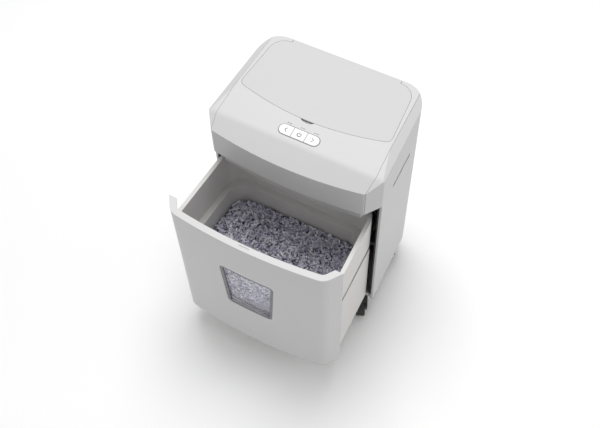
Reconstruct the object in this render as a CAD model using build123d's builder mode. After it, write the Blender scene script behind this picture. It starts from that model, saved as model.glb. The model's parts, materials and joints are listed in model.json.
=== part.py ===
from build123d import *
import os
from math import atan2, cos, degrees, radians, sin

# Paper shredder with a pull-out bin, in millimetres. +Z is up and the front faces -Y.
# The origin is on the floor, under the middle of the outline with the bin pulled out.

# Outline of the cabinet and head, seen from above
HALF = 180.0            # half width at the front edge of the side panels
REAR_HALF = 171.5       # half width where the sides meet the back
CORNER_X = 158.0        # where the bowed front meets the swept corner
WING = 31.5             # how far the swept corner reaches ahead of the side panels
BOW = 11.5              # how far the middle of the front stands ahead of its corners
DEPTH = 214.0           # side panel front edge to the back
OPEN = 155.0            # how far the bin is pulled out at rest
REAR_R = 50.0

# Heights above the floor
PANEL_BOTTOM = 70.0
TUB_BOTTOM = 391.0
DRAWER_TOP = 426.0
HEAD_BOTTOM = 428.0
TOP_BACK = 524.4        # top surface at the back
TOP_KNEE = 518.5        # top surface where the key slope begins
TOP_BROW = 508.0        # top surface above the side panels' front edge
CREASE = 506.0          # side crease at the side panels' front edge
RIM_Z = 378.0           # bin rim
LEDGE_Z = 285.0         # step inside the bin

# Walls and gaps
WALL = 4.0
GAP = 0.5
THIN = 2.5

# Places along Y
FACE = (OPEN + WING + BOW - DEPTH) / 2      # front edge of the side panels
BACK = FACE + DEPTH
BIN_FACE = FACE - OPEN                      # the same edge, carried along with the open bin
KNEE_Y = FACE + 60.0
LID_CORNER_Y = FACE + 75.0
LID_FRONT_Y = FACE + 52.0
LID_BACK_Y = FACE + 206.0

# Head seams and keys
SEAM_FRONT = 163.0
SEAM_BACK = 156.5
KEY_Y = FACE + 19.5
KEY_SLOPE = degrees(atan2(TOP_KNEE - TOP_BROW, KNEE_Y - FACE))
KEY_Z = TOP_BROW + (TOP_KNEE - TOP_BROW) * (KEY_Y - FACE) / (KNEE_Y - FACE)
KEY_PLANE = Plane(
    origin=(0, KEY_Y, KEY_Z),
    x_dir=(1, 0, 0),
    z_dir=(0, -sin(radians(KEY_SLOPE)), cos(radians(KEY_SLOPE))),
)
PILL_LENGTH = 82.0
PILL_WIDTH = 21.0

# Cutters and gears
CUTTER_Z = 452.0
FRONT_SHAFT_Y = FACE + 122.0
REAR_SHAFT_Y = FACE + 158.0
THROAT_Y = (FRONT_SHAFT_Y + REAR_SHAFT_Y) / 2
DISC_R = 19.5
DISC_PITCH = 8.0
DISC_WIDTH = 3.4
DISC_COUNT = 28
PLATE_X = 122.0
MOTOR_Y = FACE + 48.0
IDLER_Y = FACE + 83.2

# Lid hinge, in the top rear edge
HINGE_Y = BACK - 2.6
HINGE_Z = TOP_BACK - 2.5
TAB_HALF = 115.0
HINGE_PIN_R = 1.0
SKIRT_BOTTOM = HINGE_Z - 3.6

# Casters
CASTER_X = 146.0
CASTER_Y = (FACE + 18.0, FACE + 178.0)
CASTER_OFFSET = 22.0
WHEEL_R = 24.0

# Window in the bin front
WINDOW_TOP = 331.0
WINDOW_BOTTOM = 197.0
WINDOW_TOP_HALF = 58.5
WINDOW_BOTTOM_HALF = 49.5
WINDOW_RIM = 6.0        # width of its dark rim

os.makedirs("parts", exist_ok=True)


def save(block, name):
    """Label a finished piece and write its file."""
    block.part.label = name
    export_step(block.part, f"parts/{name}.step")


def outline(face, inset, corner=9.0):
    """Plan of the cabinet with its side edges at y = face, drawn in by inset."""
    with BuildSketch() as plan:
        with BuildLine():
            ThreePointArc(
                (-CORNER_X, face - WING), (0, face - WING - BOW), (CORNER_X, face - WING)
            )
            Polyline(
                (CORNER_X, face - WING),
                (HALF, face),
                (REAR_HALF, face + DEPTH),
                (-REAR_HALF, face + DEPTH),
                (-HALF, face),
                (-CORNER_X, face - WING),
            )
        make_face()
        fillet(plan.vertices().group_by(Axis.Y)[-1], radius=REAR_R)
        fillet(plan.vertices().group_by(Axis.Y)[0], radius=corner)
        if inset:
            offset(amount=-inset)
    return plan.sketch


def envelope(inset):
    """The whole outer form of cabinet and head, drawn in by inset."""
    with BuildPart() as form:
        with BuildSketch(Plane.XY.offset(PANEL_BOTTOM)):
            add(outline(FACE, inset))
        extrude(amount=500)
        with BuildSketch(Plane.YZ.offset(-HALF - 20)) as profile:
            with BuildLine():
                Polyline(
                    (BACK + 60, 0),
                    (BACK + 60, TOP_BACK + (TOP_BACK - TOP_KNEE) * 60 / (BACK - KNEE_Y)),
                    (KNEE_Y, TOP_KNEE),
                    (FACE, TOP_BROW),
                    (FACE - 120, TOP_BROW - 60),
                    (FACE - 120, 0),
                    close=True,
                )
            make_face()
            fillet(profile.vertices().sort_by_distance((KNEE_Y, TOP_KNEE))[0], radius=150)
            fillet(profile.vertices().sort_by_distance((FACE, TOP_BROW))[0], radius=40)
            if inset:
                offset(amount=-inset)
        extrude(amount=2 * HALF + 40, mode=Mode.INTERSECT)
        band = Plane(
            origin=(0, BACK + 40, CREASE + 0.015 * (DEPTH + 40)),
            x_dir=(1, 0, 0),
            z_dir=(0, -1, -0.015),
        )
        with BuildSketch(band):
            with BuildLine():
                Polyline(
                    (HALF, 0),
                    (HALF - 64, 40),
                    (64 - HALF, 40),
                    (-HALF, 0),
                    (-HALF, -500),
                    (HALF, -500),
                    close=True,
                )
            make_face()
            if inset:
                offset(amount=-inset)
        extrude(amount=DEPTH + 140, mode=Mode.INTERSECT)
    return form.part


def lid_outline(grow):
    """Plan of the lid: bowed front, rounded corners and a tab between the hinges."""
    half = 158.0 + grow
    with BuildSketch() as plan:
        with BuildLine():
            ThreePointArc(
                (2 - half, LID_CORNER_Y - grow),
                (0, LID_FRONT_Y - grow),
                (half - 2, LID_CORNER_Y - grow),
            )
            Polyline(
                (half - 2, LID_CORNER_Y - grow),
                (half - 12, LID_BACK_Y + grow),
                (12 - half, LID_BACK_Y + grow),
                (2 - half, LID_CORNER_Y - grow),
            )
        make_face()
        fillet(plan.vertices().group_by(Axis.Y)[-1], radius=32 + grow)
        fillet(plan.vertices().sort_by(Axis.Y)[:2], radius=13 + grow)
        with Locations((0, LID_BACK_Y)):
            Rectangle(2 * TAB_HALF + 2 * grow, 40)
    return plan.sketch


outer_form = envelope(0)
inner_form = envelope(WALL)
lining_form = envelope(WALL + GAP)

with BuildPart() as lid_region:
    with BuildSketch(Plane.XY.offset(480)):
        add(lid_outline(0))
    extrude(amount=80)

with BuildPart() as lid_hole:
    with BuildSketch(Plane.XY.offset(480)):
        add(lid_outline(GAP))
    extrude(amount=80)


# Side panels
def side_region(side, trim):
    """Everything outside the head seam on one side."""
    with BuildPart() as region:
        with BuildSketch(Plane.XY.offset(PANEL_BOTTOM - 10)):
            with BuildLine():
                Polyline(
                    (side * (CORNER_X + trim), FACE - WING - BOW - 20),
                    (side * (CORNER_X + trim), FACE - WING),
                    (side * (SEAM_FRONT + trim), FACE),
                    (side * (SEAM_BACK + trim), BACK + 20),
                    (side * (HALF + 20), BACK + 20),
                    (side * (HALF + 20), FACE - WING - BOW - 20),
                    close=True,
                )
            make_face()
        extrude(amount=520)
    return region.part


GRIP_Y = FACE + 94.0
GRIP_Z = 425.0
for side, hand in ((-1, "left"), (1, "right")):
    with BuildPart() as side_panel:
        add(outer_form)
        add(inner_form, mode=Mode.SUBTRACT)
        add(side_region(side, 0.2), mode=Mode.INTERSECT)
        # below the head the swept corner belongs to the bin front
        with BuildSketch(Plane.XY.offset(PANEL_BOTTOM)):
            with Locations((side * HALF, FACE - 50 + GAP)):
                Rectangle(120, 100)
        extrude(amount=HEAD_BOTTOM - PANEL_BOTTOM, mode=Mode.SUBTRACT)
        # pocket behind the grip slot
        with Locations((side * (HALF - 14), GRIP_Y, GRIP_Z)):
            Box(16, 96, 22)
        with Locations((side * (HALF + 8), GRIP_Y, GRIP_Z)):
            Box(16, 120, 40, mode=Mode.SUBTRACT)
        with BuildSketch(Plane.YZ.offset(side * (HALF - 19.5))):
            with Locations((GRIP_Y, GRIP_Z)):
                SlotOverall(84, 9)
        extrude(amount=side * 30, mode=Mode.SUBTRACT)
    save(side_panel, f"side_panel_{hand}")


# Head cover: top, front and back skin between the side panels
KEY_PITCH = PILL_LENGTH / 3


def pill(length, width, depth):
    """A pill-shaped block standing on the key plane, reaching depth below it."""
    with BuildPart() as block:
        with BuildSketch(KEY_PLANE.offset(10)):
            SlotOverall(length, width)
        extrude(amount=-depth - 10)
    return block.part


with BuildPart() as centre_region:
    with BuildSketch(Plane.XY.offset(PANEL_BOTTOM - 10)):
        with BuildLine():
            Polyline(
                (CORNER_X - 0.2, FACE - WING - BOW - 20),
                (CORNER_X - 0.2, FACE - WING),
                (SEAM_FRONT - 0.2, FACE),
                (SEAM_BACK - 0.2, BACK + 20),
                (0.2 - SEAM_BACK, BACK + 20),
                (0.2 - SEAM_FRONT, FACE),
                (0.2 - CORNER_X, FACE - WING),
                (0.2 - CORNER_X, FACE - WING - BOW - 20),
                close=True,
            )
        make_face()
    extrude(amount=520)

SCOOP_R = 20.5
with BuildPart() as head_cover:
    add(outer_form)
    add(inner_form, mode=Mode.SUBTRACT)
    add(centre_region.part, mode=Mode.INTERSECT)
    with Locations((0, 0, PANEL_BOTTOM)):
        Box(
            500, 700, HEAD_BOTTOM - PANEL_BOTTOM,
            align=(Align.CENTER, Align.CENTER, Align.MIN),
            mode=Mode.SUBTRACT,
        )
    add(lid_hole.part, mode=Mode.SUBTRACT)
    # scoop for a finger ahead of the lid
    with Locations((0, LID_FRONT_Y - 6 + SCOOP_R, TOP_KNEE)):
        Cylinder(SCOOP_R, 40, mode=Mode.SUBTRACT)
    add(pill(PILL_LENGTH + 2, PILL_WIDTH + 2, 12), mode=Mode.SUBTRACT)
    # the back wall stops below the lid tab and its swing
    with Locations((0, BACK, SKIRT_BOTTOM - 1.2)):
        Box(
            2 * TAB_HALF + 2, 20, 60,
            align=(Align.CENTER, Align.CENTER, Align.MIN),
            mode=Mode.SUBTRACT,
        )
    # holes for the hinge pins
    for side in (-1, 1):
        with Locations((side * (TAB_HALF + 5), HINGE_Y, HINGE_Z)):
            Cylinder(HINGE_PIN_R, 12, rotation=(0, 90, 0), mode=Mode.SUBTRACT)
save(head_cover, "head_cover")

# Lid with a barrel along its rear tab, which turns on two short pins
LID_T = 2.8
BARREL_R = 2.2
lid_form = envelope(LID_T)
with BuildPart() as lid:
    add(outer_form)
    add(lid_form, mode=Mode.SUBTRACT)
    add(lid_region.part, mode=Mode.INTERSECT)
    with Locations((0, BACK, SKIRT_BOTTOM)):
        Box(
            600, 20, 600,
            align=(Align.CENTER, Align.CENTER, Align.MAX),
            mode=Mode.SUBTRACT,
        )
    with Locations((0, HINGE_Y, HINGE_Z)):
        Cylinder(BARREL_R, 2 * TAB_HALF, rotation=(0, 90, 0))
    for side in (-1, 1):
        with Locations((side * TAB_HALF, HINGE_Y, HINGE_Z)):
            Cylinder(HINGE_PIN_R + 0.05, 24, rotation=(0, 90, 0), mode=Mode.SUBTRACT)
save(lid, "lid")

with BuildPart() as lid_hinge_pins:
    for side in (-1, 1):
        with Locations((side * TAB_HALF, HINGE_Y, HINGE_Z)):
            Cylinder(HINGE_PIN_R, 22, rotation=(0, 90, 0))
save(lid_hinge_pins, "lid_hinge_pins")

# Feed tray under the lid, with a long opening for the paper guides
TRAY_DEPTH = 7.5
TRAY_BACK = HINGE_Y - 14.0
GUIDE_HALF = 118.0
GUIDE_TOP = TOP_BACK - 8.0
GUIDE_MOUTH = 17.0
THROAT_BOTTOM = CUTTER_Z + DISC_R + 4
tray_inner = envelope(TRAY_DEPTH)
with BuildPart() as feed_tray:
    add(lining_form)
    add(tray_inner, mode=Mode.SUBTRACT)
    with Locations((0, (LID_FRONT_Y - 14 + TRAY_BACK) / 2, GUIDE_TOP)):
        Box(300, TRAY_BACK - LID_FRONT_Y + 14, 60, mode=Mode.INTERSECT)
    with Locations((0, THROAT_Y, GUIDE_TOP)):
        Box(2 * GUIDE_HALF, 2 * GUIDE_MOUTH, 40, mode=Mode.SUBTRACT)
save(feed_tray, "feed_tray")

# Two guides slope down from the opening to the cutters
for toward, place in ((-1, "front"), (1, "rear")):
    with BuildPart() as paper_guide:
        with BuildSketch(Plane.YZ.offset(-GUIDE_HALF)):
            with BuildLine():
                Polyline(
                    (THROAT_Y + toward * GUIDE_MOUTH, GUIDE_TOP),
                    (THROAT_Y + toward * (GUIDE_MOUTH - 2.5), GUIDE_TOP),
                    (THROAT_Y + toward * 4, THROAT_BOTTOM),
                    (THROAT_Y + toward * 7, THROAT_BOTTOM),
                    close=True,
                )
            make_face()
        extrude(amount=2 * GUIDE_HALF)
    save(paper_guide, f"paper_guide_{place}")

# Keys: three caps in one pill-shaped bezel, a board with switches below
KEY_TRAVEL = 1.0
with BuildPart() as button_bezel:
    with BuildSketch(KEY_PLANE.offset(0.4)):
        SlotOverall(PILL_LENGTH + 1.4, PILL_WIDTH + 1.4)
    extrude(amount=-6)
    with BuildSketch(KEY_PLANE.offset(5)):
        SlotOverall(PILL_LENGTH, PILL_WIDTH)
    extrude(amount=-20, mode=Mode.SUBTRACT)
    with BuildSketch(KEY_PLANE.offset(-WALL - GAP)):
        SlotOverall(PILL_LENGTH + 10, PILL_WIDTH + 10)
        SlotOverall(PILL_LENGTH - 2, PILL_WIDTH - 2, mode=Mode.SUBTRACT)
    extrude(amount=-2)
save(button_bezel, "button_bezel")

for place, key_name in ((-1, "button_reverse"), (0, "button_power"), (1, "button_forward")):
    with BuildPart() as key:
        with BuildSketch(KEY_PLANE.offset(-2.6)):
            SlotOverall(PILL_LENGTH - 0.8, PILL_WIDTH - 0.8)
            with Locations((place * KEY_PITCH, 0)):
                Rectangle(KEY_PITCH - 0.7, PILL_WIDTH, mode=Mode.INTERSECT)
        extrude(amount=3.8)
        fillet(key.faces().filter_by(lambda f: f.normal_at().dot(KEY_PLANE.z_dir) > 0.99).edges(), 0.6)
        with BuildSketch(KEY_PLANE.offset(-2.6)):
            with Locations((place * (KEY_PITCH - 2), 0)):
                Circle(2.5)
        extrude(amount=-4)
    save(key, key_name)

with BuildPart() as control_board:
    with BuildSketch(KEY_PLANE.offset(-13)):
        RectangleRounded(110, 30, 2)
    extrude(amount=-1.6)
    with BuildSketch(KEY_PLANE.offset(-13)):
        with Locations(*[(place * (KEY_PITCH - 2), 0) for place in (-1, 0, 1)]):
            Rectangle(6, 6)
    extrude(amount=4)
    with BuildSketch(KEY_PLANE.offset(-13)):
        with GridLocations(90, 0, 2, 1):
            Rectangle(8, 12)
    extrude(amount=3)
save(control_board, "control_board")

# Head tub: lower housing, seen under the front of the head as a recessed skirt
TUB_HALF = 154.0
TUB_FRONT = FACE - 28.0
TUB_BACK = FACE + 204.0


def tub_plan(inset):
    """Plan of the head tub, with its bowed front."""
    with BuildSketch() as plan:
        with BuildLine():
            ThreePointArc(
                (inset - TUB_HALF + 8, TUB_FRONT + 11 + inset),
                (0, TUB_FRONT + inset),
                (TUB_HALF - 8 - inset, TUB_FRONT + 11 + inset),
            )
            Polyline(
                (TUB_HALF - 8 - inset, TUB_FRONT + 11 + inset),
                (TUB_HALF - inset, FACE),
                (TUB_HALF - inset, TUB_BACK - inset),
                (inset - TUB_HALF, TUB_BACK - inset),
                (inset - TUB_HALF, FACE),
                (inset - TUB_HALF + 8, TUB_FRONT + 11 + inset),
            )
        make_face()
        fillet(plan.vertices().group_by(Axis.Y)[-1], radius=34 - inset)
    return plan.sketch


with BuildPart() as head_tub:
    with BuildSketch(Plane.XY.offset(TUB_BOTTOM)):
        add(tub_plan(0))
    extrude(amount=HEAD_BOTTOM + 14 - TUB_BOTTOM)
    with BuildSketch(Plane.XY.offset(TUB_BOTTOM + THIN)):
        add(tub_plan(THIN))
    extrude(amount=60, mode=Mode.SUBTRACT)
    with Locations((0, THROAT_Y, TUB_BOTTOM)):
        Box(2 * PLATE_X - 8, 74, 20, mode=Mode.SUBTRACT)
    # feet for the cutter plates
    for side in (-1, 1):
        with Locations((side * (PLATE_X + 6), THROAT_Y, TUB_BOTTOM + 6)):
            Box(8, 90, 9)
save(head_tub, "head_tub")

# Cutter frame
PLATE_T = 3.0
SHAFT_R = 6.0
BUSH_R = 10.0
ROD_PLACES = [
    (FRONT_SHAFT_Y - 22, CUTTER_Z - 26), (REAR_SHAFT_Y + 22, CUTTER_Z - 26),
    (FRONT_SHAFT_Y - 30, CUTTER_Z + 20), (REAR_SHAFT_Y + 30, CUTTER_Z + 20),
]
for side, hand in ((-1, "left"), (1, "right")):
    front_end = MOTOR_Y - 34 if side > 0 else FRONT_SHAFT_Y - 36
    with BuildPart() as cutter_plate:
        with BuildSketch(Plane.YZ.offset(side * (PLATE_X + PLATE_T / 2) - PLATE_T / 2)):
            with BuildLine():
                Polyline(
                    (front_end, CUTTER_Z - 34), (REAR_SHAFT_Y + 36, CUTTER_Z - 34),
                    (REAR_SHAFT_Y + 36, CUTTER_Z + 28), (front_end, CUTTER_Z + 28), close=True,
                )
            make_face()
            with Locations((FRONT_SHAFT_Y, CUTTER_Z), (REAR_SHAFT_Y, CUTTER_Z)):
                Circle(BUSH_R, mode=Mode.SUBTRACT)
            with Locations(*ROD_PLACES):
                Circle(4, mode=Mode.SUBTRACT)
            if side > 0:
                with Locations((MOTOR_Y, CUTTER_Z)):
                    Circle(9, mode=Mode.SUBTRACT)
                with Locations((IDLER_Y, CUTTER_Z)):
                    Circle(4, mode=Mode.SUBTRACT)
        extrude(amount=PLATE_T)
    save(cutter_plate, f"cutter_plate_{hand}")

with BuildPart() as cutter_rods:
    with BuildSketch(Plane.YZ.offset(-PLATE_X - PLATE_T)):
        with Locations(*ROD_PLACES):
            Circle(4)
    extrude(amount=2 * (PLATE_X + PLATE_T))
    with BuildSketch(Plane.YZ.offset(-PLATE_X + 0.05)):
        with Locations(*ROD_PLACES):
            Circle(5.5)
    extrude(amount=2 * PLATE_X - 0.1)
save(cutter_rods, "cutter_rods")

with BuildPart() as shaft_bushes:
    for side in (-1, 1):
        with BuildSketch(Plane.YZ.offset(side * (PLATE_X + PLATE_T / 2) - 3)):
            with Locations((FRONT_SHAFT_Y, CUTTER_Z), (REAR_SHAFT_Y, CUTTER_Z)):
                Circle(BUSH_R)
                Circle(SHAFT_R + 0.05, mode=Mode.SUBTRACT)
        extrude(amount=6)
save(shaft_bushes, "shaft_bushes")

# Cutter shafts, discs and the combs that strip them
HEX_R = 8.0
for offset_x, shaft_y, end_left, end_right, place in (
    (-2.0, FRONT_SHAFT_Y, -141.0, 151.5, "front"),
    (2.0, REAR_SHAFT_Y, -141.0, 127.0, "rear"),
):
    with BuildPart() as cutter_shaft:
        with BuildSketch(Plane.YZ.offset(end_left)):
            with Locations((shaft_y, CUTTER_Z)):
                Circle(SHAFT_R)
        extrude(amount=end_right - end_left)
        with BuildSketch(Plane.YZ.offset(-PLATE_X + 4)):
            with Locations((shaft_y, CUTTER_Z)):
                RegularPolygon(HEX_R, 6)
        extrude(amount=2 * PLATE_X - 8)
    save(cutter_shaft, f"cutter_shaft_{place}")

    with BuildPart() as cutter_discs:
        for number in range(DISC_COUNT):
            disc_x = (number - (DISC_COUNT - 1) / 2) * DISC_PITCH + offset_x
            with BuildSketch(Plane.YZ.offset(disc_x - DISC_WIDTH / 2)):
                with Locations((shaft_y, CUTTER_Z)):
                    Circle(DISC_R)
                    with PolarLocations(DISC_R, 4, start_angle=13.0 * number):
                        Rectangle(5, 4, mode=Mode.SUBTRACT)
                    RegularPolygon(HEX_R, 6, mode=Mode.SUBTRACT)
            extrude(amount=DISC_WIDTH)
    save(cutter_discs, f"cutter_discs_{place}")

for outward, shaft_y, offset_x, place in (
    (-1, FRONT_SHAFT_Y, 2.0, "front"), (1, REAR_SHAFT_Y, -2.0, "rear"),
):
    with BuildPart() as comb:
        with BuildSketch(Plane.YZ.offset(-PLATE_X + 0.5)):
            with Locations((shaft_y + outward * 24.5, CUTTER_Z)):
                Rectangle(5, 18)
        extrude(amount=2 * PLATE_X - 1)
        for number in range(DISC_COUNT):
            finger_x = (number - (DISC_COUNT - 1) / 2) * DISC_PITCH + offset_x
            with Locations((finger_x, shaft_y + outward * 17.5, CUTTER_Z)):
                Box(3, 12, 8)
    save(comb, f"comb_{place}")


# Gears
def gear(teeth, module, x_start, width, y, bore, turn):
    """A straight-toothed gear with its axis along X at the cutter height."""
    root = module * (teeth / 2 - 1.3)
    tip = module * (teeth / 2 + 0.85)
    pitch = module * teeth / 2
    with BuildPart() as wheel:
        with BuildSketch(Plane.YZ.offset(x_start)):
            with Locations((y, CUTTER_Z)):
                Circle(root)
                with PolarLocations(0, teeth, start_angle=turn):
                    Polygon(
                        (root - 0.5, -0.95 * module), (pitch, -0.64 * module), (tip, -0.3 * module),
                        (tip, 0.3 * module), (pitch, 0.64 * module), (root - 0.5, 0.95 * module),
                        align=None,
                    )
                Circle(bore, mode=Mode.SUBTRACT)
        extrude(amount=width)
    return wheel


TIMING_TEETH = 20
TIMING_MODULE = 36.0 / 20
timing_front = gear(TIMING_TEETH, TIMING_MODULE, -139, 9, FRONT_SHAFT_Y, SHAFT_R, 0)
save(timing_front, "timing_gear_front")
timing_rear = gear(TIMING_TEETH, TIMING_MODULE, -139, 9, REAR_SHAFT_Y, SHAFT_R, 180 / TIMING_TEETH)
save(timing_rear, "timing_gear_rear")

PINION_TEETH = 12
IDLER_TEETH = 44
STAGE_ONE = 35.2 * 2 / (PINION_TEETH + IDLER_TEETH)
SMALL_TEETH = 12
DRIVE_TEETH = 36
STAGE_TWO = (FRONT_SHAFT_Y - IDLER_Y) * 2 / (SMALL_TEETH + DRIVE_TEETH)
with BuildPart() as idler_gear:
    add(gear(IDLER_TEETH, STAGE_ONE, 130, 7, IDLER_Y, 4.05, 0).part)
    add(gear(SMALL_TEETH, STAGE_TWO, 137, 11, IDLER_Y, 4.05, 0).part)
save(idler_gear, "idler_gear")
drive_gear = gear(DRIVE_TEETH, STAGE_TWO, 140, 7.5, FRONT_SHAFT_Y, SHAFT_R, 180 / DRIVE_TEETH)
save(drive_gear, "drive_gear")

with BuildPart() as idler_pin:
    with Locations((PLATE_X + 14.5, IDLER_Y, CUTTER_Z)):
        Cylinder(4, 29, rotation=(0, 90, 0))
save(idler_pin, "idler_pin")

# Motor on the right cutter plate
MOTOR_LENGTH = 108.0
MOTOR_X = PLATE_X - 0.1 - MOTOR_LENGTH
with BuildPart() as motor_housing:
    with BuildSketch(Plane.YZ.offset(MOTOR_X)):
        with Locations((MOTOR_Y, CUTTER_Z)):
            Circle(27)
    extrude(amount=MOTOR_LENGTH)
    with BuildSketch(Plane.YZ.offset(MOTOR_X + 26)):
        with Locations((MOTOR_Y, CUTTER_Z)):
            Circle(29)
    extrude(amount=50)
    with BuildSketch(Plane.YZ.offset(MOTOR_X - 1)):
        with Locations((MOTOR_Y, CUTTER_Z)):
            Circle(4.55)
    extrude(amount=MOTOR_LENGTH + 2, mode=Mode.SUBTRACT)
save(motor_housing, "motor_housing")

with BuildPart() as motor_rotor:
    with BuildSketch(Plane.YZ.offset(MOTOR_X - 16)):
        with Locations((MOTOR_Y, CUTTER_Z)):
            Circle(4.5)
    extrude(amount=145 - MOTOR_X)
    with BuildSketch(Plane.YZ.offset(MOTOR_X - 12)):
        with Locations((MOTOR_Y, CUTTER_Z)):
            Circle(9)
            with PolarLocations(15, 9):
                Rectangle(16, 3)
    extrude(amount=8)
    add(gear(PINION_TEETH, STAGE_ONE, 129, 8, MOTOR_Y, 2, 180 / PINION_TEETH).part)
save(motor_rotor, "motor_rotor")

# Power board with its capacitor, and the bin interlock switch, on the tub floor
with BuildPart() as power_board:
    with Locations((-75, MOTOR_Y, TUB_BOTTOM + 10)):
        Box(110, 62, 1.6)
    with Locations((-105, MOTOR_Y - 8, TUB_BOTTOM + 26)):
        Cylinder(13, 30.8)
    with Locations((-65, MOTOR_Y + 6, TUB_BOTTOM + 20)):
        Box(32, 26, 18.8)
    with Locations((-38, MOTOR_Y - 18, TUB_BOTTOM + 17)):
        Box(18, 14, 13)
    with Locations((-75, MOTOR_Y, TUB_BOTTOM + 6.15)):
        with GridLocations(96, 48, 2, 2):
            Cylinder(3, 7.2)
save(power_board, "power_board")

with BuildPart() as interlock_switch:
    with Locations((0, TUB_FRONT + 14, TUB_BOTTOM + 9.5)):
        Box(28, 10, 14)
    with Locations((6, TUB_FRONT + 14, TUB_BOTTOM + 17.5)):
        Box(5, 3, 4)
save(interlock_switch, "interlock_switch")

# Inner frames of the cabinet, with the runners that carry the bin by its step
RUNNER_IN = 157.0
FRAME_TOP = 411.0
TRAY_TOP = 84.0
frame_inner = envelope(8)
for side, hand in ((-1, "left"), (1, "right")):
    with BuildPart() as frame_panel:
        add(lining_form)
        add(frame_inner, mode=Mode.SUBTRACT)
        with Locations((side * 170, FACE + 92, (FRAME_TOP + TRAY_TOP + GAP) / 2)):
            Box(40, 176, FRAME_TOP - TRAY_TOP - GAP, mode=Mode.INTERSECT)
        with Locations((side * 173.2, FACE + 6, (FRAME_TOP + TRAY_TOP + GAP) / 2)):
            Box(4.2, 4, FRAME_TOP - TRAY_TOP - GAP)
        with BuildSketch(Plane.XY.offset(LEDGE_Z - 0.5)):
            with BuildLine():
                Polyline(
                    (side * RUNNER_IN, FACE + 6),
                    (side * 173, FACE + 6),
                    (side * 163, FACE + 176),
                    (side * RUNNER_IN, FACE + 176),
                    close=True,
                )
            make_face()
        extrude(amount=-8)
    save(frame_panel, f"frame_{hand}")

# Base tray
with BuildPart() as base_tray:
    with BuildSketch(Plane.XY.offset(PANEL_BOTTOM + 2)):
        add(outline(FACE, WALL + GAP))
    extrude(amount=TRAY_TOP - PANEL_BOTTOM - 2)
    with BuildSketch(Plane.XY.offset(PANEL_BOTTOM + 5)):
        add(outline(FACE, WALL + GAP + 3))
    extrude(amount=20, mode=Mode.SUBTRACT)
    with Locations((0, FACE - 48.5, 100)):
        Box(400, 100, 100, mode=Mode.SUBTRACT)
    with Locations((0, FACE + 3.5, (TRAY_TOP + PANEL_BOTTOM + 2) / 2)):
        Box(340, 4, TRAY_TOP - PANEL_BOTTOM - 2)
    with Locations(*[(x, y, PANEL_BOTTOM + 6) for x in (-CASTER_X, CASTER_X) for y in CASTER_Y]):
        Cylinder(14, 6)
    # flat pad between the casters, to lift or stand the cabinet on
    with Locations((0, FACE + 100, PANEL_BOTTOM + 1)):
        Box(200, 110, 2)
save(base_tray, "base_tray")

# Rear panel with air slots and openings for the mains inlet and switch
INLET = (-100.0, 112.0)
SWITCH = (-60.0, 112.0)
REAR_SCREWS = [(x, z) for x in (-122, 122) for z in (92, 408)]
with BuildPart() as rear_panel:
    add(outer_form)
    add(inner_form, mode=Mode.SUBTRACT)
    add(centre_region.part, mode=Mode.INTERSECT)
    with Locations((0, BACK - 5, (HEAD_BOTTOM - GAP + PANEL_BOTTOM) / 2)):
        Box(2 * HALF, 40, HEAD_BOTTOM - GAP - PANEL_BOTTOM, mode=Mode.INTERSECT)
    with BuildSketch(Plane.XZ.offset(-BACK - 2)):
        with Locations((0, 372)):
            with GridLocations(9, 0, 24, 1):
                SlotOverall(44, 3.2, rotation=90)
        with Locations(INLET):
            Rectangle(50, 26)
        with Locations(SWITCH):
            Rectangle(16, 26)
        with Locations(*REAR_SCREWS):
            Circle(3.4)
    extrude(amount=20, mode=Mode.SUBTRACT)
save(rear_panel, "rear_panel")

with BuildPart() as mains_inlet:
    with Locations((INLET[0], BACK - 10, INLET[1])):
        Box(50, 19, 26)
    with BuildSketch(Plane.XZ.offset(-BACK)):
        with Locations(INLET):
            RectangleRounded(26, 17, 3)
    extrude(amount=15, mode=Mode.SUBTRACT)
    with Locations(*[(INLET[0] + dx, BACK - 11, INLET[1] + dz) for dx, dz in ((-7, -2), (0, 2), (7, -2))]):
        Box(2, 9, 4)
save(mains_inlet, "mains_inlet")

with BuildPart() as mains_switch:
    with Locations((SWITCH[0], BACK - 10, SWITCH[1])):
        Box(16, 19, 26)
    with BuildSketch(Plane.XZ.offset(-BACK)):
        with Locations(SWITCH):
            Rectangle(12, 22)
    extrude(amount=13, mode=Mode.SUBTRACT)
save(mains_switch, "mains_switch")

ROCKER_TILT = 9.0
ROCKER_PIVOT = BACK - 7.0
rocker_plane = Plane(
    origin=(SWITCH[0] - 5.6, ROCKER_PIVOT, SWITCH[1]),
    x_dir=(0, cos(radians(ROCKER_TILT)), sin(radians(ROCKER_TILT))),
    z_dir=(1, 0, 0),
)
with BuildPart() as switch_rocker:
    with BuildSketch(rocker_plane):
        with BuildLine():
            Polyline(
                (-2, -3), (-2, 3), (3.2, 9.2), (4.6, 9.2), (3.8, 0),
                (4.6, -9.2), (3.2, -9.2), close=True,
            )
        make_face()
    extrude(amount=11.2)
    with Locations((SWITCH[0], ROCKER_PIVOT, SWITCH[1])):
        Cylinder(2.4, 11.2, rotation=(0, 90, 0))
save(switch_rocker, "switch_rocker")

with BuildPart() as screws:
    with BuildSketch(Plane.XZ.offset(-BACK + 0.3)):
        with Locations(*REAR_SCREWS):
            Circle(3.4)
    extrude(amount=8)
    with BuildSketch(Plane.XZ.offset(-BACK + 0.3)):
        with Locations(*REAR_SCREWS):
            Rectangle(4.4, 0.9)
            Rectangle(0.9, 4.4)
    extrude(amount=1.5, mode=Mode.SUBTRACT)
save(screws, "screws")


# Bin front: bowed panel with swept wings and a broad top edge
FRONT_WALL = 3.5
FRONT_CORNER = 28.0
TOP_BAND = 13.0


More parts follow.
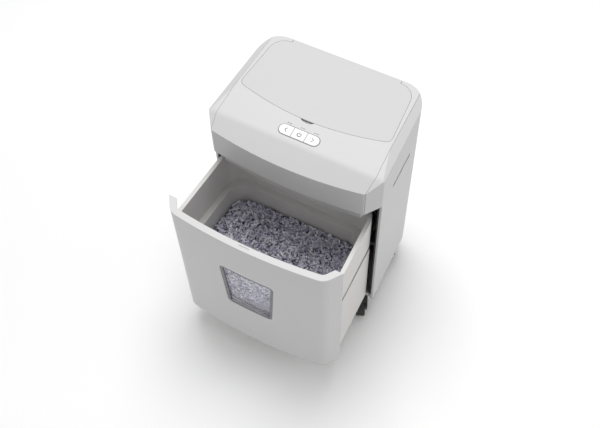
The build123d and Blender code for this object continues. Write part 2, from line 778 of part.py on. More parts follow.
def window_outline(grow):
    """The window: a rounded trapezoid, wider at the top, in X and Z."""
    with BuildSketch() as shape:
        with BuildLine():
            Polyline(
                (-WINDOW_TOP_HALF, WINDOW_TOP),
                (WINDOW_TOP_HALF, WINDOW_TOP),
                (WINDOW_BOTTOM_HALF, WINDOW_BOTTOM),
                (-WINDOW_BOTTOM_HALF, WINDOW_BOTTOM),
                close=True,
            )
        make_face()
        fillet(shape.vertices(), radius=10)
        if grow:
            offset(amount=grow)
    return shape.sketch


def window_prism(grow):
    """The window outline run through the bin front."""
    with BuildPart() as prism:
        with BuildSketch(Plane.XZ.offset(-BIN_FACE + 15)):
            add(window_outline(grow))
        extrude(amount=60)
    return prism.part


def front_slice(outside, inside, bottom, top):
    """A layer of the bin front between two insets of its plan."""
    with BuildPart() as layer:
        with BuildSketch(Plane.XY.offset(bottom)):
            add(outline(BIN_FACE, outside, FRONT_CORNER))
            add(outline(BIN_FACE, inside, FRONT_CORNER), mode=Mode.SUBTRACT)
        extrude(amount=top - bottom)
        with Locations((0, BIN_FACE + 300 - GAP, (bottom + top) / 2)):
            Box(500, 600, top - bottom + 2, mode=Mode.SUBTRACT)
    return layer.part


with BuildPart() as drawer_front:
    add(front_slice(0, FRONT_WALL, PANEL_BOTTOM, DRAWER_TOP))
    add(front_slice(0, TOP_BAND, DRAWER_TOP - 4, DRAWER_TOP))
    add(front_slice(0, TOP_BAND, PANEL_BOTTOM, PANEL_BOTTOM + 3))
    add(window_prism(0.2), mode=Mode.SUBTRACT)
    with Locations(*[(x, BIN_FACE - 33.8, z) for x in (-100, 100) for z in (110, 350)]):
        Cylinder(6, 6.6, rotation=(90, 0, 0))
    # shallow finger mark on the top edge
    with Locations((0, BIN_FACE - WING - BOW + 8, DRAWER_TOP)):
        Box(20, 2.5, 2, mode=Mode.SUBTRACT)
save(drawer_front, "drawer_front")

with BuildPart() as window_frame:
    add(front_slice(0.8, 5, WINDOW_BOTTOM - 30, WINDOW_TOP + 30))
    add(window_prism(0), mode=Mode.INTERSECT)
    add(window_prism(-WINDOW_RIM), mode=Mode.SUBTRACT)
save(window_frame, "window_frame")

with BuildPart() as window_pane:
    add(front_slice(5.05, 6.6, WINDOW_BOTTOM - 30, WINDOW_TOP + 30))
    add(window_prism(3), mode=Mode.INTERSECT)
save(window_pane, "window_pane")

# Waste bin behind the front
BIN_BOTTOM = 86.0
CATCH_Z = 352.0


def bin_plan(front_half, front_y, side_half, rear_half, rear_y, inset):
    """Plan of one level of the bin: bowed front, swept corners, tapered sides."""
    with BuildSketch() as plan:
        with BuildLine():
            ThreePointArc(
                (-front_half, BIN_FACE + front_y + 10),
                (0, BIN_FACE + front_y),
                (front_half, BIN_FACE + front_y + 10),
            )
            Polyline(
                (front_half, BIN_FACE + front_y + 10),
                (side_half, BIN_FACE - 2),
                (rear_half, BIN_FACE + rear_y),
                (-rear_half, BIN_FACE + rear_y),
                (-side_half, BIN_FACE - 2),
                (-front_half, BIN_FACE + front_y + 10),
            )
        make_face()
        fillet(plan.vertices().group_by(Axis.Y)[-1], radius=40)
        fillet(plan.vertices().group_by(Axis.Y)[0], radius=12)
        if inset:
            offset(amount=-inset)
    return plan.sketch


def upper_plan(inset):
    return bin_plan(142, -34.5, 165, 158, 180, inset)


def lower_plan(inset):
    return bin_plan(136, -34.5, 153, 146, 168, inset)


with BuildPart() as waste_bin:
    with BuildSketch(Plane.XY.offset(LEDGE_Z)):
        add(upper_plan(0))
    extrude(amount=RIM_Z - LEDGE_Z)
    with BuildSketch(Plane.XY.offset(BIN_BOTTOM)):
        add(lower_plan(0))
    extrude(amount=LEDGE_Z - BIN_BOTTOM)
    with BuildSketch(Plane.XY.offset(RIM_Z)):
        add(upper_plan(-5.5))
    extrude(amount=-THIN)
    with BuildSketch(Plane.XY.offset(RIM_Z)):
        add(upper_plan(-5.5))
        add(upper_plan(-3.5), mode=Mode.SUBTRACT)
    extrude(amount=LEDGE_Z + 1 - RIM_Z)
    # the rim and its long skirt stop short of the front panel
    with Locations((0, BIN_FACE - 58, LEDGE_Z)):
        Box(
            400, 100, 100,
            align=(Align.CENTER, Align.CENTER, Align.MIN),
            mode=Mode.SUBTRACT,
        )
    with BuildSketch(Plane.XY.offset(LEDGE_Z)):
        add(upper_plan(0))
    extrude(amount=RIM_Z - LEDGE_Z)
    with BuildSketch(Plane.XY.offset(LEDGE_Z + THIN)):
        add(upper_plan(THIN))
    extrude(amount=RIM_Z, mode=Mode.SUBTRACT)
    with BuildSketch(Plane.XY.offset(BIN_BOTTOM + THIN)):
        add(lower_plan(THIN))
    extrude(amount=RIM_Z, mode=Mode.SUBTRACT)
    with BuildSketch(Plane.XZ.offset(-BIN_FACE + 20)):
        add(window_outline(2))
    extrude(amount=30, mode=Mode.SUBTRACT)
    # catch slots high in the rear wall
    with BuildSketch(Plane.XZ.offset(-BIN_FACE - 190)):
        with Locations((-15, CATCH_Z), (75, CATCH_Z)):
            SlotOverall(15, 3)
    extrude(amount=20, mode=Mode.SUBTRACT)
save(waste_bin, "waste_bin")

# Side walls below the runners, from the bin front back past the bin's middle
SIDE_OUT = 170.6        # outer face where the walls meet the bin front's line
SIDE_TAPER = 0.0353     # how fast they draw in towards the back
SIDE_LENGTH = 150.0
SIDE_T = 2.4
with BuildPart() as drawer_sides:
    for side in (-1, 1):
        with BuildSketch(Plane.XY.offset(BIN_BOTTOM)):
            with BuildLine():
                Polyline(
                    (side * SIDE_OUT, BIN_FACE - 12),
                    (side * SIDE_OUT, BIN_FACE),
                    (side * (SIDE_OUT - SIDE_TAPER * SIDE_LENGTH), BIN_FACE + SIDE_LENGTH),
                    (side * (SIDE_OUT - SIDE_T - SIDE_TAPER * SIDE_LENGTH), BIN_FACE + SIDE_LENGTH),
                    (side * (SIDE_OUT - SIDE_T), BIN_FACE),
                    (side * (SIDE_OUT - SIDE_T), BIN_FACE - 12),
                    close=True,
                )
            make_face()
        extrude(amount=LEDGE_Z - 10 - BIN_BOTTOM)
    with BuildSketch(Plane.XY.offset(BIN_BOTTOM)):
        add(outline(BIN_FACE, FRONT_WALL, FRONT_CORNER))
    extrude(amount=LEDGE_Z - BIN_BOTTOM, mode=Mode.INTERSECT)
save(drawer_sides, "drawer_sides")

# Shredded paper in the bin: a crust as heavy as the loose heap, open below.
# The heap has slid away from the left half of the window.
SHRED_TOP = 240.0
SLIDE_DEPTH = 52.0
SLIDE_RUN = 66.0
CRUST = 4.0


def heap(inset):
    """The heap's form, drawn in by inset on its sides and top."""
    slide = Plane(
        origin=(70, BIN_FACE - 32, SHRED_TOP - inset),
        x_dir=Vector(-130, SLIDE_RUN, 0).normalized(),
        z_dir=Vector(-SLIDE_DEPTH / 130, -SLIDE_DEPTH / SLIDE_RUN, 1).normalized(),
    )
    with BuildPart() as mound:
        with BuildSketch(Plane.XY.offset(BIN_BOTTOM + THIN + GAP - 2 * inset)):
            add(lower_plan(THIN + 0.4 + inset))
        extrude(amount=SHRED_TOP - BIN_BOTTOM - THIN - GAP + inset)
        split(bisect_by=slide, keep=Keep.BOTTOM)
    return mound.part


with BuildPart() as paper_shreds:
    add(heap(0))
    add(heap(CRUST), mode=Mode.SUBTRACT)
save(paper_shreds, "paper_shreds")

# Casters: one set of sockets, and a fork, axle and wheel at each corner
FORK_TOP = 60.0
AXLE_R = 3.0
CASTERS = {
    "front_left": (-CASTER_X, CASTER_Y[0], 245.0),
    "front_right": (CASTER_X, CASTER_Y[0], 295.0),
    "rear_left": (-CASTER_X, CASTER_Y[1], 255.0),
    "rear_right": (CASTER_X, CASTER_Y[1], 285.0),
}
with BuildPart() as caster_sockets:
    with Locations(*[(x, y, FORK_TOP + 7.2) for x, y, trail in CASTERS.values()]):
        Cylinder(14, 9.6)
        Cylinder(5.05, 20, mode=Mode.SUBTRACT)
save(caster_sockets, "caster_sockets")

for corner, (x, y, trail) in CASTERS.items():
    upright = Plane(
        origin=(x, y, 0),
        x_dir=(cos(radians(trail)), sin(radians(trail)), 0),
        z_dir=(sin(radians(trail)), -cos(radians(trail)), 0),
    )
    with BuildPart() as fork:
        with BuildSketch(upright.offset(-14)):
            with BuildLine():
                Polyline(
                    (-14, FORK_TOP), (14, FORK_TOP), (CASTER_OFFSET + 16, FORK_TOP - 16),
                    (CASTER_OFFSET + 8, WHEEL_R - 7), (CASTER_OFFSET - 8, WHEEL_R - 7),
                    (-14, FORK_TOP - 10), close=True,
                )
            make_face()
        extrude(amount=28)
        with BuildSketch(upright.offset(-10.5)):
            with Locations((CASTER_OFFSET, WHEEL_R)):
                Circle(WHEEL_R + 2.5)
            with Locations((CASTER_OFFSET, 0)):
                Rectangle(2 * WHEEL_R + 5, 2 * WHEEL_R)
        extrude(amount=21, mode=Mode.SUBTRACT)
        with BuildSketch(upright.offset(-20)):
            with Locations((CASTER_OFFSET, WHEEL_R)):
                Circle(AXLE_R)
        extrude(amount=40, mode=Mode.SUBTRACT)
        with BuildSketch(Plane(origin=(x, y, FORK_TOP), x_dir=(1, 0, 0), z_dir=(0, 0, 1))):
            Circle(5)
        extrude(amount=11)
    save(fork, f"caster_fork_{corner}")

    with BuildPart() as axle:
        with BuildSketch(upright.offset(-14)):
            with Locations((CASTER_OFFSET, WHEEL_R)):
                Circle(AXLE_R)
        extrude(amount=28)
    save(axle, f"caster_axle_{corner}")

    with BuildPart() as wheel:
        with BuildSketch(upright.offset(-9.5)):
            with Locations((CASTER_OFFSET, WHEEL_R)):
                Circle(WHEEL_R)
                Circle(AXLE_R + 0.05, mode=Mode.SUBTRACT)
        extrude(amount=19)
        fillet(wheel.edges().filter_by(GeomType.CIRCLE).sort_by(SortBy.RADIUS)[-2:], radius=3)
        for end, depth in ((-9.5, 3), (9.5, -3)):
            with BuildSketch(upright.offset(end)):
                with Locations((CASTER_OFFSET, WHEEL_R)):
                    Circle(16)
                    Circle(7, mode=Mode.SUBTRACT)
            extrude(amount=depth, mode=Mode.SUBTRACT)
    save(wheel, f"caster_wheel_{corner}")
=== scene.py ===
import json
import random
from math import cos, pi, radians, sin

import bmesh
import bpy
from mathutils import Matrix, Vector, noise
from mathutils.bvhtree import BVHTree


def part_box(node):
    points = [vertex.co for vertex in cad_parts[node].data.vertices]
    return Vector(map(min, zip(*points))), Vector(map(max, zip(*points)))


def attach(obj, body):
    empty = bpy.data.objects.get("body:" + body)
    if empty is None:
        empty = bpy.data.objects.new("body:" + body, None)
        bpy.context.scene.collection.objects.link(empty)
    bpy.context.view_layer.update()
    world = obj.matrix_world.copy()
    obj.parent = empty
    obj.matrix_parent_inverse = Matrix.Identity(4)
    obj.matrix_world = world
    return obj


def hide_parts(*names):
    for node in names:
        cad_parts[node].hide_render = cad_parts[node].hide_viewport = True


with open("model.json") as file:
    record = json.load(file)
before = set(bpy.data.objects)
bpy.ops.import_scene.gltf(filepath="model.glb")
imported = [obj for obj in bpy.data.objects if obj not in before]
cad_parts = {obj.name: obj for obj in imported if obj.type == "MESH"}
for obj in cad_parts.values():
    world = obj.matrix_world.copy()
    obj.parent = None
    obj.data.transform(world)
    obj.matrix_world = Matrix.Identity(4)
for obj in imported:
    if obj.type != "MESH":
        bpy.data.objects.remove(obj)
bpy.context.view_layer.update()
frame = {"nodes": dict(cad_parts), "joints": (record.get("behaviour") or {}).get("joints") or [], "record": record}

MM = 0.001
rng = random.Random(11)

# The paper shredder's looks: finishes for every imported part, the loose paper in the bin,
# the signs on the keys, and a studio around it. Lengths are in metres.

joints = {joint["name"]: joint for joint in frame["joints"]}


# ---------------------------------------------------------------- camera and studio
def place_camera():
    """The camera stands ahead, to the right of and well above the shredder."""
    azimuth = radians(28.494)
    elevation = radians(55.331)
    roll = radians(-0.787)
    data = bpy.data.cameras.new("camera")
    data.sensor_width = 36.0
    data.lens = 52.75
    data.shift_x = -0.0168
    data.shift_y = -0.0389
    camera = bpy.data.objects.new("camera", data)
    camera.matrix_world = (
        Matrix.Translation((0.4869, -0.8469, 1.7610))
        @ Matrix.Rotation(azimuth, 4, "Z")
        @ Matrix.Rotation(pi / 2 - elevation, 4, "X")
        @ Matrix.Rotation(roll, 4, "Z")
    )
    bpy.context.collection.objects.link(camera)
    bpy.context.scene.camera = camera


def softbox(name, place, target, width, height, power):
    """A rectangular studio light aimed at a point."""
    data = bpy.data.lights.new(name, "AREA")
    data.shape = "RECTANGLE"
    data.size = width
    data.size_y = height
    data.energy = power
    light = bpy.data.objects.new(name, data)
    aim = (Vector(target) - Vector(place)).to_track_quat("-Z", "Y")
    light.matrix_world = Matrix.Translation(place) @ aim.to_matrix().to_4x4()
    bpy.context.collection.objects.link(light)


def light_studio():
    """Soft light from above and behind, and an even pale surround."""
    softbox("overhead_softbox", (-0.3, 0.5, 2.6), (0.0, 0.0, 0.3), 1.5, 1.3, 39.0)
    softbox("side_softbox", (2.4, 0.6, 1.5), (0.0, 0.0, 0.3), 1.2, 1.2, 9.0)
    world = bpy.data.worlds.new("pale_surround")
    world.use_nodes = True
    background = world.node_tree.nodes["Background"]
    background.inputs["Color"].default_value = (1.0, 1.0, 1.0, 1.0)
    background.inputs["Strength"].default_value = 0.6
    bpy.context.scene.world = world
    bpy.context.scene.view_settings.view_transform = "Standard"


# ---------------------------------------------------------------- finishes
class Wire:
    """A value inside a material. Arithmetic on it adds Math nodes."""

    def __init__(self, paint, socket):
        self.paint = paint
        self.socket = socket

    def math(self, operation, *values):
        return self.paint.add("ShaderNodeMath", {"operation": operation}, dict(enumerate(values)))

    def __add__(self, other):
        return self.math("ADD", self, other)

    __radd__ = __add__

    def __sub__(self, other):
        return self.math("SUBTRACT", self, other)

    def __rsub__(self, other):
        return self.math("SUBTRACT", other, self)

    def __mul__(self, other):
        return self.math("MULTIPLY", self, other)

    __rmul__ = __mul__

    def __gt__(self, other):
        return self.math("GREATER_THAN", self, other)


class Paint:
    """One material: the nodes that lead to its Principled shader."""

    def __init__(self, name):
        self.material = bpy.data.materials.new(name)
        self.material.use_nodes = True
        self.nodes = self.material.node_tree.nodes
        self.links = self.material.node_tree.links
        self.shader = self.nodes["Principled BSDF"]
        self.point = self.add("ShaderNodeTexCoord", {}, {}, "Object")

    def add(self, kind, settings, values, output=0):
        """A node with its settings, then its sockets' values or links; returns one output."""
        node = self.nodes.new(kind)
        for key, value in settings.items():
            if key == "stops":
                self.set_stops(node.color_ramp, value)
            else:
                setattr(node, key, value)
        for key, value in values.items():
            self.feed(node.inputs[key], value)
        return Wire(self, node.outputs[output])

    def set_stops(self, ramp, stops):
        """A colour ramp's stops, as (position, colour) pairs."""
        while len(ramp.elements) < len(stops):
            ramp.elements.new(1.0)
        for element, (position, colour) in zip(ramp.elements, stops):
            element.position = position
            element.color = (*colour, 1.0)

    def feed(self, socket, value):
        """Link a wire to a socket, or set the socket's own value."""
        if isinstance(value, Wire):
            self.links.new(value.socket, socket)
        else:
            socket.default_value = value

    def shade(self, **values):
        """Values of the shader's sockets, with _ for the spaces in their names."""
        for key, value in values.items():
            self.feed(self.shader.inputs[key.replace("_", " ")], value)
        return self

    def noise(self, scale, detail=2.0, stretch=(1.0, 1.0, 1.0)):
        """Noise from 0 to 1 with features of about 1 / scale metres."""
        point = self.add("ShaderNodeMapping", {}, {"Vector": self.point, "Scale": stretch})
        values = {"Vector": point, "Scale": scale, "Detail": detail}
        return self.add("ShaderNodeTexNoise", {}, values)

    def ramp(self, wire, *stops):
        """Colours along a value."""
        return self.add("ShaderNodeValToRGB", {"stops": stops}, {"Fac": wire})

    def mix(self, amount, first, second):
        """One colour changing into another."""
        values = {0: amount, 6: opaque(first), 7: opaque(second)}
        return self.add("ShaderNodeMix", {"data_type": "RGBA"}, values, 2)

    def rounded_edges(self, radius):
        """The surface's normal with its sharp edges rounded off."""
        return self.add("ShaderNodeBevel", {"samples": 6}, {"Radius": radius})

    def bump(self, height, depth, edge=0.0):
        """Relief of a given depth in metres, over edges rounded off by a radius."""
        values = {"Height": height, "Distance": depth, "Strength": 1.0}
        if edge:
            values["Normal"] = self.rounded_edges(edge)
        return self.add("ShaderNodeBump", {}, values)


def opaque(colour):
    """A colour with its alpha, or a wire as it is."""
    return colour if isinstance(colour, Wire) else (*colour, 1.0)


def tint(colour, factor):
    """The same colour, lighter or darker."""
    return tuple(min(1.0, channel * factor) for channel in colour)


def moulded(name, colour, roughness, grain=0.014 * MM, edge=0.8 * MM):
    """Moulded plastic: faint clouding, sparked grain, and a painted highlight along the edges: a lighter base
    colour there, with lower roughness.
    """
    paint = Paint(name)
    cloud = paint.noise(9.0, 3.0)
    spark = paint.noise(1400.0, 3.0)
    haze = paint.noise(60.0, 4.0)
    true_normal = paint.add("ShaderNodeNewGeometry", {}, {}, "Normal")
    pair = {0: paint.rounded_edges(2.2 * edge), 1: true_normal}
    turned = paint.add("ShaderNodeVectorMath", {"operation": "DOT_PRODUCT"}, pair, "Value")
    # Painted highlight: the base colour turns lighter near rounded edges, where the bevelled normal leaves the
    # true one.
    edge_highlight = (1.0 - turned) * 1.6
    body = paint.mix(cloud * 0.6 + haze * 0.4, tint(colour, 0.975), tint(colour, 1.025))
    paint.shade(
        Base_Color=paint.mix(edge_highlight, body, tint(colour, 1.12)),
        Roughness=roughness + (haze - 0.5) * 0.08 + (spark - 0.5) * 0.1 - edge_highlight * 0.1,
        Specular_IOR_Level=0.42,
        Normal=paint.bump(spark, grain, edge),
    )
    return paint.material


def glossy(name, colour, roughness, edge=0.5 * MM):
    """Smooth plastic with faint waviness and a few fine hairlines from wiping."""
    paint = Paint(name)
    wave = paint.noise(45.0, 2.0)
    wipe = paint.noise(220.0, 3.0, (1.0, 9.0, 9.0))
    hair = (wipe > 0.66) * 0.12
    paint.shade(
        Base_Color=paint.mix(wave, tint(colour, 0.985), tint(colour, 1.015)),
        Roughness=roughness + hair + wave * 0.04,
        Normal=paint.bump(wave, 0.02 * MM, edge),
    )
    return paint.material


def brushed(name, colour, roughness, lines, stretch):
    """Machined metal: fine lines one way and a slow change of tone."""
    paint = Paint(name)
    scratch = paint.noise(lines, 3.0, stretch)
    cloud = paint.noise(30.0, 2.0)
    paint.shade(
        Base_Color=paint.mix(scratch * 0.7 + cloud * 0.3, tint(colour, 0.8), tint(colour, 1.15)),
        Metallic=1.0,
        Roughness=roughness + (scratch - 0.5) * 0.25,
        Normal=paint.bump(scratch, 0.03 * MM, 0.3 * MM),
    )
    return paint.material


def painted(name, colour):
    """Satin paint on steel with a light orange-peel surface and dust on it."""
    paint = Paint(name)
    peel = paint.noise(700.0, 1.0)
    dust = paint.noise(120.0, 5.0)
    paint.shade(
        Base_Color=paint.mix((dust > 0.56) * 0.35, colour, tint(colour, 2.2)),
        Roughness=0.38 + dust * 0.2,
        Normal=paint.bump(peel, 0.03 * MM, 0.6 * MM),
    )
    return paint.material


def nylon(name, colour):
    """Milky gear plastic with grey grease in its hollows."""
    paint = Paint(name)
    grease = paint.noise(160.0, 4.0)
    paint.shade(
        Base_Color=paint.mix((grease > 0.6) * 0.5, colour, tint(colour, 0.55)),
        Roughness=0.46 - (grease > 0.6) * 0.2,
        Subsurface_Weight=0.15,
        Subsurface_Radius=(2 * MM, 2 * MM, 1.6 * MM),
        Normal=paint.bump(grease, 0.05 * MM, 0.3 * MM),
    )
    return paint.material


def circuit(name):
    """Green board with copper tracks under its lacquer."""
    paint = Paint(name)
    cells = {"Vector": paint.point, "Scale": 260.0}
    track = paint.add("ShaderNodeTexVoronoi", {"distance": "CHEBYCHEV"}, cells)
    lacquer = paint.mix(track > 0.42, (0.014, 0.085, 0.035), (0.03, 0.17, 0.06))
    paint.shade(
        Base_Color=lacquer,
        Roughness=0.3 + (track > 0.42) * 0.12,
        Normal=paint.bump(track, 0.05 * MM, 0.3 * MM),
    )
    return paint.material


def clear_pane(name):
    """Clear moulded plastic, slightly hazed where paper dust clings inside."""
    paint = Paint(name)
    dust = paint.noise(70.0, 5.0)
    wave = paint.noise(18.0, 2.0)
    paint.shade(
        Base_Color=paint.mix(dust, (0.55, 0.54, 0.62), (0.8, 0.8, 0.86)),
        Roughness=0.12 + dust * 0.1,
        Alpha=0.16 + dust * 0.22,
        IOR=1.5,
        Normal=paint.bump(wave, 0.12 * MM),
    )
    return paint.material


def tread(name, colour):
    """Caster tyre: dull, dusty where it has rolled."""
    paint = Paint(name)
    dust = paint.noise(220.0, 5.0)
    paint.shade(
        Base_Color=paint.mix((dust - 0.45) * 1.5, colour, tint(colour, 3.2)),
        Roughness=0.7 + dust * 0.2,
        Normal=paint.bump(dust, 0.15 * MM, 0.5 * MM),
    )
    return paint.material


def cut_paper(name):
    """Cut office paper: whites, blue-grey print and dark flecks, one tone to a flake."""
    paint = Paint(name)
    tone = paint.add("ShaderNodeAttribute", {"attribute_name": "tone"}, {}, "Fac")
    base = paint.ramp(
        tone,
        (0.0, (0.12, 0.115, 0.17)),
        (0.16, (0.3, 0.29, 0.39)),
        (0.36, (0.5, 0.49, 0.6)),
        (0.58, (0.68, 0.67, 0.78)),
        (0.78, (0.82, 0.81, 0.89)),
        (0.92, (0.95, 0.95, 0.97)),
    )
    printing = paint.noise(520.0, 2.0, (1.0, 2.6, 1.0)) > 0.585
    fibre = paint.noise(2600.0, 3.0)
    paint.shade(
        Base_Color=paint.mix(printing * 0.55, base, (0.07, 0.065, 0.12)),
        Roughness=0.88,
        Specular_IOR_Level=0.2,
        Normal=paint.bump(fibre, 0.04 * MM),
    )
    return paint.material


def sign_ink(name, colour):
    """Printed signs: flat ink with a slightly broken surface."""
    paint = Paint(name)
    grain = paint.noise(2400.0, 2.0)
    paint.shade(
        Base_Color=paint.mix(grain, tint(colour, 0.85), tint(colour, 1.2)),
        Roughness=0.5 + grain * 0.15,
        Normal=paint.bump(grain, 0.01 * MM),
    )
    return paint.material


def studio_floor(name):
    """A smooth white sweep."""
    paint = Paint(name)
    cloud = paint.noise(1.5, 2.0)
    paint.shade(
        Base_Color=paint.mix(cloud, (0.93, 0.93, 0.93), (0.95, 0.95, 0.95)),
        Roughness=0.85,
        Specular_IOR_Level=0.1,
    )
    return paint.material


WHITE = (0.53, 0.53, 0.53)
finishes = {
    "shell": moulded("shell", WHITE, 0.46),
    "lid_shell": moulded("lid_shell", tint(WHITE, 0.96), 0.5),
    # front_shell is the shell's white made 8% brighter: painted light on the drawer's front faces.
    "front_shell": moulded("front_shell", tint(WHITE, 1.08), 0.46),
    "rear_shell": moulded("rear_shell", tint(WHITE, 0.94), 0.5),
    "key_white": glossy("key_white", (0.7, 0.7, 0.71), 0.28),
    "bezel_grey": moulded("bezel_grey", (0.34, 0.34, 0.35), 0.4),
    "bin_plastic": moulded("bin_plastic", (0.62, 0.61, 0.595), 0.42),
    "inner_grey": moulded("inner_grey", (0.45, 0.45, 0.45), 0.5),
    "frame_dark": moulded("frame_dark", (0.022, 0.022, 0.023), 0.42),
    "rocker_black": glossy("rocker_black", (0.018, 0.018, 0.02), 0.2),
    "window_trim": glossy("window_trim", (0.16, 0.155, 0.18), 0.22),
    "window_clear": clear_pane("window_clear"),
    "shredded_paper": cut_paper("shredded_paper"),
    "cutter_steel": brushed("cutter_steel", (0.5, 0.5, 0.52), 0.34, 420.0, (1.0, 0.2, 6.0)),
    "plate_steel": brushed("plate_steel", (0.62, 0.63, 0.65), 0.36, 300.0, (1.0, 8.0, 1.0)),
    "bush_brass": brushed("bush_brass", (0.68, 0.47, 0.2), 0.4, 500.0, (1.0, 1.0, 1.0)),
    "comb_plastic": moulded("comb_plastic", (0.03, 0.03, 0.032), 0.5),
    "gear_nylon": nylon("gear_nylon", (0.78, 0.76, 0.66)),
    "motor_paint": painted("motor_paint", (0.035, 0.035, 0.04)),
    "rotor_steel": brushed("rotor_steel", (0.56, 0.56, 0.57), 0.32, 600.0, (6.0, 1.0, 1.0)),
    "board": circuit("board"),
    "caster_black": moulded("caster_black", (0.02, 0.02, 0.021), 0.44),
    "caster_tread": tread("caster_tread", (0.028, 0.028, 0.03)),
    "axle_steel": brushed("axle_steel", (0.58, 0.58, 0.6), 0.3, 700.0, (6.0, 6.0, 1.0)),
    "sign_ink": sign_ink("sign_ink", (0.045, 0.045, 0.05)),
}


def finish_nodes():
    """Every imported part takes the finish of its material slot."""
    for subpart in frame["record"]["subparts"]:
        mesh = frame["nodes"][subpart["node"]].data
        mesh.materials.clear()
        mesh.materials.append(finishes[subpart["material_slot"]])


# ---------------------------------------------------------------- modelling helpers
def new_piece(name, bm, slot, body):
    """A finished piece from its bmesh: named, painted and riding on its body.

    The ink of the printed signs is a finish only; every other finish is a packed slot.
    """
    mesh = bpy.data.meshes.new(name)
    bm.to_mesh(mesh)
    bm.free()
    mesh.materials.append(finishes[slot])
    piece = bpy.data.objects.new(name, mesh)
    bpy.context.collection.objects.link(piece)
    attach(piece, body)
    return piece


def make_floor():
    """A wide white floor."""
    reach = 6.0
    bm = bmesh.new()
    bmesh.ops.create_grid(bm, x_segments=2, y_segments=2, size=reach)
    mesh = bpy.data.meshes.new("floor")
    bm.to_mesh(mesh)
    bm.free()
    mesh.materials.append(studio_floor("floor"))
    floor = bpy.data.objects.new("floor", mesh)
    bpy.context.collection.objects.link(floor)


# ---------------------------------------------------------------- signs on the keys
def key_plane(key):
    """A frame on a key's top face: its middle, with X along the row and Z out of the face."""
    joint = joints[f"{key.replace('button', 'key')}_press"]
    out = -Vector(joint["axis"]).normalized()
    along = Vector((1.0, 0.0, 0.0))
    uphill = out.cross(along)
    points = [vertex.co for vertex in frame["nodes"][key].data.vertices]
    top = max(out.dot(point) for point in points)
    face = [point for point in points if out.dot(point) > top - 0.1 * MM]
    xs = [point.x for point in face]
    ups = [uphill.dot(point) for point in face]
    middle = along * (min(xs) + max(xs)) / 2 + uphill * (min(ups) + max(ups)) / 2 + out * top
    turn = Matrix((along, uphill, out)).transposed().to_4x4()
    return Matrix.Translation(middle) @ turn


def stroke(points, width, height, closed=False):
    """A printed line along points in a plane, as a low rounded ridge."""
    line = bpy.data.curves.new("stroke", "CURVE")
    line.dimensions = "3D"
    line.bevel_depth = width / 2
    line.bevel_resolution = 2
    line.use_fill_caps = True
    spline = line.splines.new("POLY")
    spline.points.add(len(points) - 1)
    for target, (x, y) in zip(spline.points, points):
        target.co = (x, y, 0.0, 1.0)
    spline.use_cyclic_u = closed
    holder = bpy.data.objects.new("stroke", line)
    mesh = bpy.data.meshes.new_from_object(holder)
    bpy.data.objects.remove(holder)
    bpy.data.curves.remove(line)
    mesh.transform(Matrix.Diagonal((1.0, 1.0, 2 * height / width, 1.0)))
    return mesh


def arc(radius, start, end, steps):
    """Points along an arc about the origin, angles in degrees."""
    turns = [radians(start + (end - start) * step / steps) for step in range(steps + 1)]
    return [(radius * cos(turn), radius * sin(turn)) for turn in turns]


def print_signs():
    """Back, power and forward signs, one on each key."""
    tall = 4.1 * MM         # half the height of an arrow head
    deep = 1.9 * MM         # half its width
    ring = 3.8 * MM         # radius of the power sign's ring
    broad = 1.45 * MM
    ridge = 0.1 * MM
    bar_foot = 0.6 * MM
    bar_head = ring + 0.9 * MM
    signs = {
        "reverse": [[(deep, tall), (-deep, 0.0), (deep, -tall)]],
        "power": [arc(ring, 130.0, 410.0, 28), [(0.0, bar_foot), (0.0, bar_head)]],
        "forward": [[(-deep, tall), (deep, 0.0), (-deep, -tall)]],
    }
    for sign, lines in signs.items():
        bm = bmesh.new()
        for points in lines:
            line = stroke(points, broad, ridge)
            bm.from_mesh(line)
            bpy.data.meshes.remove(line)
        bmesh.ops.transform(bm, matrix=key_plane(f"button_{sign}"), verts=bm.verts)
        new_piece(f"sign_{sign}", bm, "sign_ink", f"key_{sign}")


def print_status_marks():
    """A pair of short printed dashes uphill of each key, on the sloping head."""
    uphill = 15.2 * MM      # from the middle of a key
    sink = -1.2 * MM        # from the top of a key down to the head
    dashes = ((-2.6 * MM, 1.7 * MM), (2.4 * MM, 2.2 * MM))      # middle and half length
    bm = bmesh.new()
    for sign in ("reverse", "power", "forward"):
        plane = key_plane(f"button_{sign}")
        for middle, half in dashes:
            ends = [(middle - half, 0.0), (middle + half, 0.0)]
            line = stroke(ends, 1.0 * MM, 0.05 * MM)
            line.transform(plane @ Matrix.Translation((0.0, uphill, sink)))
            bm.from_mesh(line)
            bpy.data.meshes.remove(line)
    new_piece("status_marks", bm, "sign_ink", "cabinet")


# ---------------------------------------------------------------- shredded paper
PAPER_T = 0.13 * MM


def flake_mesh(length, width, curl, twist):
    """One flake of cut paper: a thin curled strip, closed all round."""
    bm = bmesh.new()
    bmesh.ops.create_grid(bm, x_segments=2, y_segments=1, size=0.5)
    bmesh.ops.scale(bm, vec=(length, width, 1.0), verts=bm.verts)
    for vertex in bm.verts:
        share = 2 * vertex.co.x / length
        vertex.co.z = curl * share * share + twist * share * vertex.co.y / width
    bmesh.ops.solidify(bm, geom=bm.faces[:], thickness=PAPER_T)
    mesh = bpy.data.meshes.new("flake")
    bm.to_mesh(mesh)
    bm.free()
    mesh.attributes.new("tone", "FLOAT", "POINT")
    return mesh


def flake_kinds(count):
    """A few dozen kinds of flake, which the heap repeats."""
    kinds = []
    for number in range(count):
        length = rng.uniform(6.5, 11.5) * MM
        width = rng.uniform(2.2, 3.6) * MM
        curl = rng.uniform(-1.3, 1.3) * MM
        twist = rng.uniform(-1.0, 1.0) * MM
        kinds.append(flake_mesh(length, width, curl, twist))
    return kinds


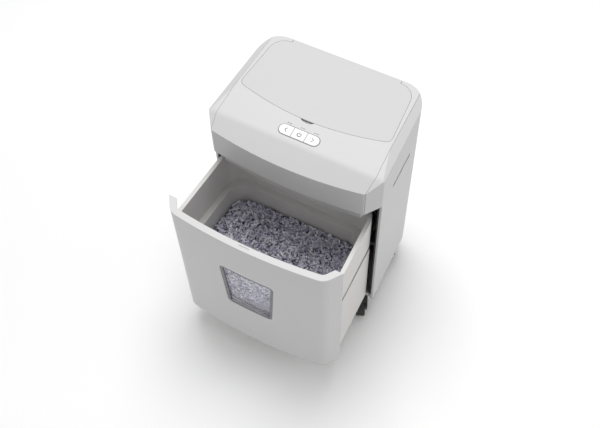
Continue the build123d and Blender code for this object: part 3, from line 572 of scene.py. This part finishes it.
def lay_flake(bm, kinds, place, tilt, yaw, roll):
    """Add one flake of a random kind and tone to the heap."""
    mesh = rng.choice(kinds)
    lean = Matrix.Rotation(tilt, 4, "Y") @ Matrix.Rotation(roll, 4, "X")
    seat = Matrix.Translation(place) @ Matrix.Rotation(yaw, 4, "Z") @ lean
    tone = rng.choice((rng.random(), rng.triangular(0.1, 1.0, 0.55)))
    mesh.attributes["tone"].data.foreach_set("value", [tone] * len(mesh.vertices))
    mesh.transform(seat)
    bm.from_mesh(mesh)
    mesh.transform(seat.inverted())


def heap_lumps(x, y):
    """Unevenness of the heap's surface, in metres."""
    broad = noise.noise(Vector((x * 14, y * 14, 3.1)))
    fine = noise.noise(Vector((x * 45, y * 45, 8.4)))
    return broad * 7 * MM + fine * 3 * MM


HEAP_TRIES = 3400       # flakes tried on each half of the heap
WINDOW_TRIES = 1500
HEAP_SKIRT = 20 * MM    # the lowest part of the heap, which carries no flakes


def make_core(heap, low):
    """The mass under the flakes, drawn back from the window and down from the top."""
    mass = bmesh.new()
    mass.from_mesh(heap.data)
    bmesh.ops.remove_doubles(mass, verts=mass.verts, dist=0.01 * MM)
    bmesh.ops.recalc_face_normals(mass, faces=mass.faces)
    upper = [vertex for vertex in mass.verts if vertex.co.z > low.z + HEAP_SKIRT]
    bmesh.ops.translate(mass, vec=(0.0, 9.0 * MM, -9.0 * MM), verts=upper)
    return new_piece("shreds_mass", mass, "shredded_paper", "drawer")


def strew_top(kinds, surface, low, high):
    """Flakes lying on the heap, as a left and a right piece."""
    down = Vector((0, 0, -1))
    margin = 4.5 * MM       # a flake keeps this far from the heap's edge
    bury = 5 * MM
    layers = 7 * MM
    for name, start, end in (("shreds_left", low.x, 0.0), ("shreds_right", 0.0, high.x)):
        bm = bmesh.new()
        for number in range(HEAP_TRIES):
            x = rng.uniform(start, end)
            y = rng.uniform(low.y, high.y)
            hits = [
                surface.ray_cast(Vector((x + dx, y + dy, high.z + 0.1)), down)[0]
                for dx, dy in ((0, 0), (margin, 0), (-margin, 0), (0, margin), (0, -margin))
            ]
            if None in hits or min(hit.z for hit in hits) < low.z + HEAP_SKIRT:
                continue
            z = hits[0].z + heap_lumps(x, y) - bury + rng.random() * layers
            tilt = rng.gauss(0.0, 0.42)
            yaw = rng.uniform(0, 2 * pi)
            lay_flake(bm, kinds, (x, y, z), tilt, yaw, rng.gauss(0.0, 0.4))
        new_piece(name, bm, "shredded_paper", "drawer")


def strew_window(kinds, surface, low, high):
    """Flakes standing against the window."""
    pane_low, pane_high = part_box("window_pane")
    bm = bmesh.new()
    for number in range(WINDOW_TRIES):
        x = rng.uniform(pane_low.x, pane_high.x)
        z = rng.uniform(pane_low.z, min(pane_high.z, high.z))
        behind = Vector((x, low.y + 14 * MM, high.z + 0.1))
        top = surface.ray_cast(behind, Vector((0, 0, -1)))[0]
        front = surface.ray_cast(Vector((x, low.y - 0.1, z)), Vector((0, 1, 0)))[0]
        if front is None or top is None or z > top.z + heap_lumps(x, low.y) - 2 * MM:
            continue
        y = front.y + rng.uniform(1.6, 7.0) * MM
        tilt = rng.gauss(0, 0.3)
        lay_flake(bm, kinds, (x, y, z), tilt, 0.0, pi / 2 + rng.gauss(0.0, 0.35))
    new_piece("shreds_window", bm, "shredded_paper", "drawer")


def make_shreds():
    """The loose paper: a core, with thousands of flakes on it and against the window."""
    heap = frame["nodes"]["paper_shreds"]
    low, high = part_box("paper_shreds")
    surface = BVHTree.FromPolygons(
        [vertex.co for vertex in heap.data.vertices],
        [polygon.vertices for polygon in heap.data.polygons],
    )
    kinds = flake_kinds(36)
    core = make_core(heap, low)
    strew_top(kinds, surface, low, high)
    strew_window(kinds, surface, low, high)
    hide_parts("paper_shreds")


place_camera()
light_studio()
make_floor()
finish_nodes()
print_signs()
print_status_marks()
make_shreds()

bpy.context.view_layer.update()
